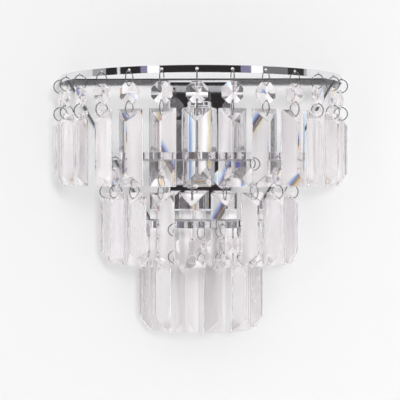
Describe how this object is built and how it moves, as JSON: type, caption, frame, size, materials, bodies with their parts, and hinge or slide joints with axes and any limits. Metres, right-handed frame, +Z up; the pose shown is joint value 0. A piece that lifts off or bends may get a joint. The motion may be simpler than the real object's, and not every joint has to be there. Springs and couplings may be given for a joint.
{
  "type": "wall lamp",
  "caption": "Half-round tiered wall lamp: chrome strip rings on a back plate, hung with chains of faceted clear beads and prisms round a downward lampholder.",
  "frame": {"origin": "centre of the two wall screws, on the wall plane", "axes": "+X to the right along the rings' straight bars, +Y into the wall, +Z up; the lamp stands out towards -Y"},
  "size_m": [0.2552, 0.1308, 0.2206],
  "materials": {
    "chrome": "mirror polished plating",
    "clear_acrylic": "clear moulded acrylic, polished facets",
    "black_plastic": "moulded, slight sheen",
    "white_insulator": "moulded heat-proof plastic",
    "brass": "bare",
    "zinc_steel": "zinc plated",
    "rubber": "matt",
    "brown_wire": "insulated wire",
    "blue_wire": "insulated wire",
    "green_wire": "insulated earth wire"
  },
  "bodies": {
    "frame": {"wall_bracket": "zinc_steel", "cable_grommet": "rubber", "earth_screw": "brass", "back_plate": "chrome", "fixing_posts": "zinc_steel", "frame_screws": "zinc_steel", "cover_screws": "chrome", "top_ring": "chrome", "middle_ring": "chrome", "lower_ring": "chrome", "left_rod": "chrome", "right_rod": "chrome", "lamp_arm": "chrome", "arm_nut": "zinc_steel", "arm_collar": "chrome", "holder_elbow": "black_plastic", "holder_cap": "chrome", "holder_sleeve": "chrome", "holder_body": "white_insulator", "screw_shell": "brass", "centre_contact": "brass", "terminal_block": "white_insulator", "terminal_tubes": "brass", "terminal_screws": "zinc_steel", "live_wire": "brown_wire", "neutral_wire": "blue_wire", "earth_wire": "green_wire"},
    "top_chain_01": {"top_drop_01": "clear_acrylic"},
    "top_chain_02": {"top_drop_02": "clear_acrylic"},
    "top_chain_03": {"top_drop_03": "clear_acrylic"},
    "top_chain_04": {"top_drop_04": "clear_acrylic"},
    "top_chain_05": {"top_drop_05": "clear_acrylic"},
    "top_chain_06": {"top_drop_06": "clear_acrylic"},
    "top_chain_07": {"top_drop_07": "clear_acrylic"},
    "top_chain_08": {"top_drop_08": "clear_acrylic"},
    "top_chain_09": {"top_drop_09": "clear_acrylic"},
    "top_chain_10": {"top_drop_10": "clear_acrylic"},
    "top_chain_11": {"top_drop_11": "clear_acrylic"},
    "top_chain_12": {"top_drop_12": "clear_acrylic"},
    "top_chain_13": {"top_drop_13": "clear_acrylic"},
    "middle_chain_01": {"middle_drop_01": "clear_acrylic"},
    "middle_chain_02": {"middle_drop_02": "clear_acrylic"},
    "middle_chain_03": {"middle_drop_03": "clear_acrylic"},
    "middle_chain_04": {"middle_drop_04": "clear_acrylic"},
    "middle_chain_05": {"middle_drop_05": "clear_acrylic"},
    "middle_chain_06": {"middle_drop_06": "clear_acrylic"},
    "middle_chain_07": {"middle_drop_07": "clear_acrylic"},
    "middle_chain_08": {"middle_drop_08": "clear_acrylic"},
    "middle_chain_09": {"middle_drop_09": "clear_acrylic"},
    "lower_chain_01": {"lower_drop_01": "clear_acrylic"},
    "lower_chain_02": {"lower_drop_02": "clear_acrylic"},
    "lower_chain_03": {"lower_drop_03": "clear_acrylic"},
    "lower_chain_04": {"lower_drop_04": "clear_acrylic"},
    "lower_chain_05": {"lower_drop_05": "clear_acrylic"},
    "lower_chain_06": {"lower_drop_06": "clear_acrylic"}
  },
  "joints": [
    {"name": "top_swing_01", "type": "hinge", "parent": "frame", "child": "top_chain_01", "pos_m": [-0.12145, -0.02782, 0.05635], "axis": [-0.2233, 0.9748, 0], "range_deg": [-8, 30]},
    {"name": "top_swing_02", "type": "hinge", "parent": "frame", "child": "top_chain_02", "pos_m": [-0.11223, -0.05413, 0.05635], "axis": [-0.4344, 0.9007, 0], "range_deg": [-8, 30]},
    {"name": "top_swing_03", "type": "hinge", "parent": "frame", "child": "top_chain_03", "pos_m": [-0.09738, -0.07773, 0.05635], "axis": [-0.6239, 0.7815, 0], "range_deg": [-8, 30]},
    {"name": "top_swing_04", "type": "hinge", "parent": "frame", "child": "top_chain_04", "pos_m": [-0.07765, -0.09745, 0.05635], "axis": [-0.7821, 0.6232, 0], "range_deg": [-8, 30]},
    {"name": "top_swing_05", "type": "hinge", "parent": "frame", "child": "top_chain_05", "pos_m": [-0.05403, -0.11227, 0.05635], "axis": [-0.9011, 0.4337, 0], "range_deg": [-8, 30]},
    {"name": "top_swing_06", "type": "hinge", "parent": "frame", "child": "top_chain_06", "pos_m": [-0.02771, -0.12148, 0.05635], "axis": [-0.975, 0.2224, 0], "range_deg": [-8, 30]},
    {"name": "top_swing_07", "type": "hinge", "parent": "frame", "child": "top_chain_07", "pos_m": [0, -0.1246, 0.05635], "axis": [-1, 0, 0], "range_deg": [-8, 30]},
    {"name": "top_swing_08", "type": "hinge", "parent": "frame", "child": "top_chain_08", "pos_m": [0.02771, -0.12148, 0.05635], "axis": [-0.975, -0.2224, 0], "range_deg": [-8, 30]},
    {"name": "top_swing_09", "type": "hinge", "parent": "frame", "child": "top_chain_09", "pos_m": [0.05403, -0.11227, 0.05635], "axis": [-0.9011, -0.4337, 0], "range_deg": [-8, 30]},
    {"name": "top_swing_10", "type": "hinge", "parent": "frame", "child": "top_chain_10", "pos_m": [0.07765, -0.09745, 0.05635], "axis": [-0.7821, -0.6232, 0], "range_deg": [-8, 30]},
    {"name": "top_swing_11", "type": "hinge", "parent": "frame", "child": "top_chain_11", "pos_m": [0.09738, -0.07773, 0.05635], "axis": [-0.6239, -0.7815, 0], "range_deg": [-8, 30]},
    {"name": "top_swing_12", "type": "hinge", "parent": "frame", "child": "top_chain_12", "pos_m": [0.11223, -0.05413, 0.05635], "axis": [-0.4344, -0.9007, 0], "range_deg": [-8, 30]},
    {"name": "top_swing_13", "type": "hinge", "parent": "frame", "child": "top_chain_13", "pos_m": [0.12145, -0.02782, 0.05635], "axis": [-0.2233, -0.9748, 0], "range_deg": [-8, 30]},
    {"name": "middle_swing_01", "type": "hinge", "parent": "frame", "child": "middle_chain_01", "pos_m": [-0.08223, -0.02142, -0.01075], "axis": [-0.2521, 0.9677, 0], "range_deg": [-4, 30]},
    {"name": "middle_swing_02", "type": "hinge", "parent": "frame", "child": "middle_chain_02", "pos_m": [-0.07158, -0.04578, -0.01075], "axis": [-0.5388, 0.8425, 0], "range_deg": [-4, 30]},
    {"name": "middle_swing_03", "type": "hinge", "parent": "frame", "child": "middle_chain_03", "pos_m": [-0.05393, -0.06566, -0.01075], "axis": [-0.7727, 0.6347, 0], "range_deg": [-4, 30]},
    {"name": "middle_swing_04", "type": "hinge", "parent": "frame", "child": "middle_chain_04", "pos_m": [-0.031, -0.07911, -0.01075], "axis": [-0.9311, 0.3649, 0], "range_deg": [-4, 30]},
    {"name": "middle_swing_05", "type": "hinge", "parent": "frame", "child": "middle_chain_05", "pos_m": [-0.00504, -0.08482, -0.01075], "axis": [-0.9982, 0.0593, 0], "range_deg": [-4, 30]},
    {"name": "middle_swing_06", "type": "hinge", "parent": "frame", "child": "middle_chain_06", "pos_m": [0.02142, -0.08223, -0.01075], "axis": [-0.9677, -0.2521, 0], "range_deg": [-4, 30]},
    {"name": "middle_swing_07", "type": "hinge", "parent": "frame", "child": "middle_chain_07", "pos_m": [0.04578, -0.07158, -0.01075], "axis": [-0.8425, -0.5388, 0], "range_deg": [-4, 30]},
    {"name": "middle_swing_08", "type": "hinge", "parent": "frame", "child": "middle_chain_08", "pos_m": [0.06566, -0.05393, -0.01075], "axis": [-0.6347, -0.7727, 0], "range_deg": [-4, 30]},
    {"name": "middle_swing_09", "type": "hinge", "parent": "frame", "child": "middle_chain_09", "pos_m": [0.07911, -0.031, -0.01075], "axis": [-0.3649, -0.9311, 0], "range_deg": [-4, 30]},
    {"name": "lower_swing_01", "type": "hinge", "parent": "frame", "child": "lower_chain_01", "pos_m": [-0.04826, -0.01522, -0.06895], "axis": [-0.3007, 0.9537, 0], "range_deg": [-3, 25]},
    {"name": "lower_swing_02", "type": "hinge", "parent": "frame", "child": "lower_chain_02", "pos_m": [-0.03444, -0.03707, -0.06895], "axis": [-0.7325, 0.6807, 0], "range_deg": [-3, 25]},
    {"name": "lower_swing_03", "type": "hinge", "parent": "frame", "child": "lower_chain_03", "pos_m": [-0.01164, -0.04924, -0.06895], "axis": [-0.9732, 0.23, 0], "range_deg": [-3, 25]},
    {"name": "lower_swing_04", "type": "hinge", "parent": "frame", "child": "lower_chain_04", "pos_m": [0.0142, -0.04857, -0.06895], "axis": [-0.9598, -0.2807, 0], "range_deg": [-3, 25]},
    {"name": "lower_swing_05", "type": "hinge", "parent": "frame", "child": "lower_chain_05", "pos_m": [0.03634, -0.03521, -0.06895], "axis": [-0.6959, -0.7181, 0], "range_deg": [-3, 25]},
    {"name": "lower_swing_06", "type": "hinge", "parent": "frame", "child": "lower_chain_06", "pos_m": [0.04899, -0.01267, -0.06895], "axis": [-0.2504, -0.9681, 0], "range_deg": [-3, 25]}
  ]
}
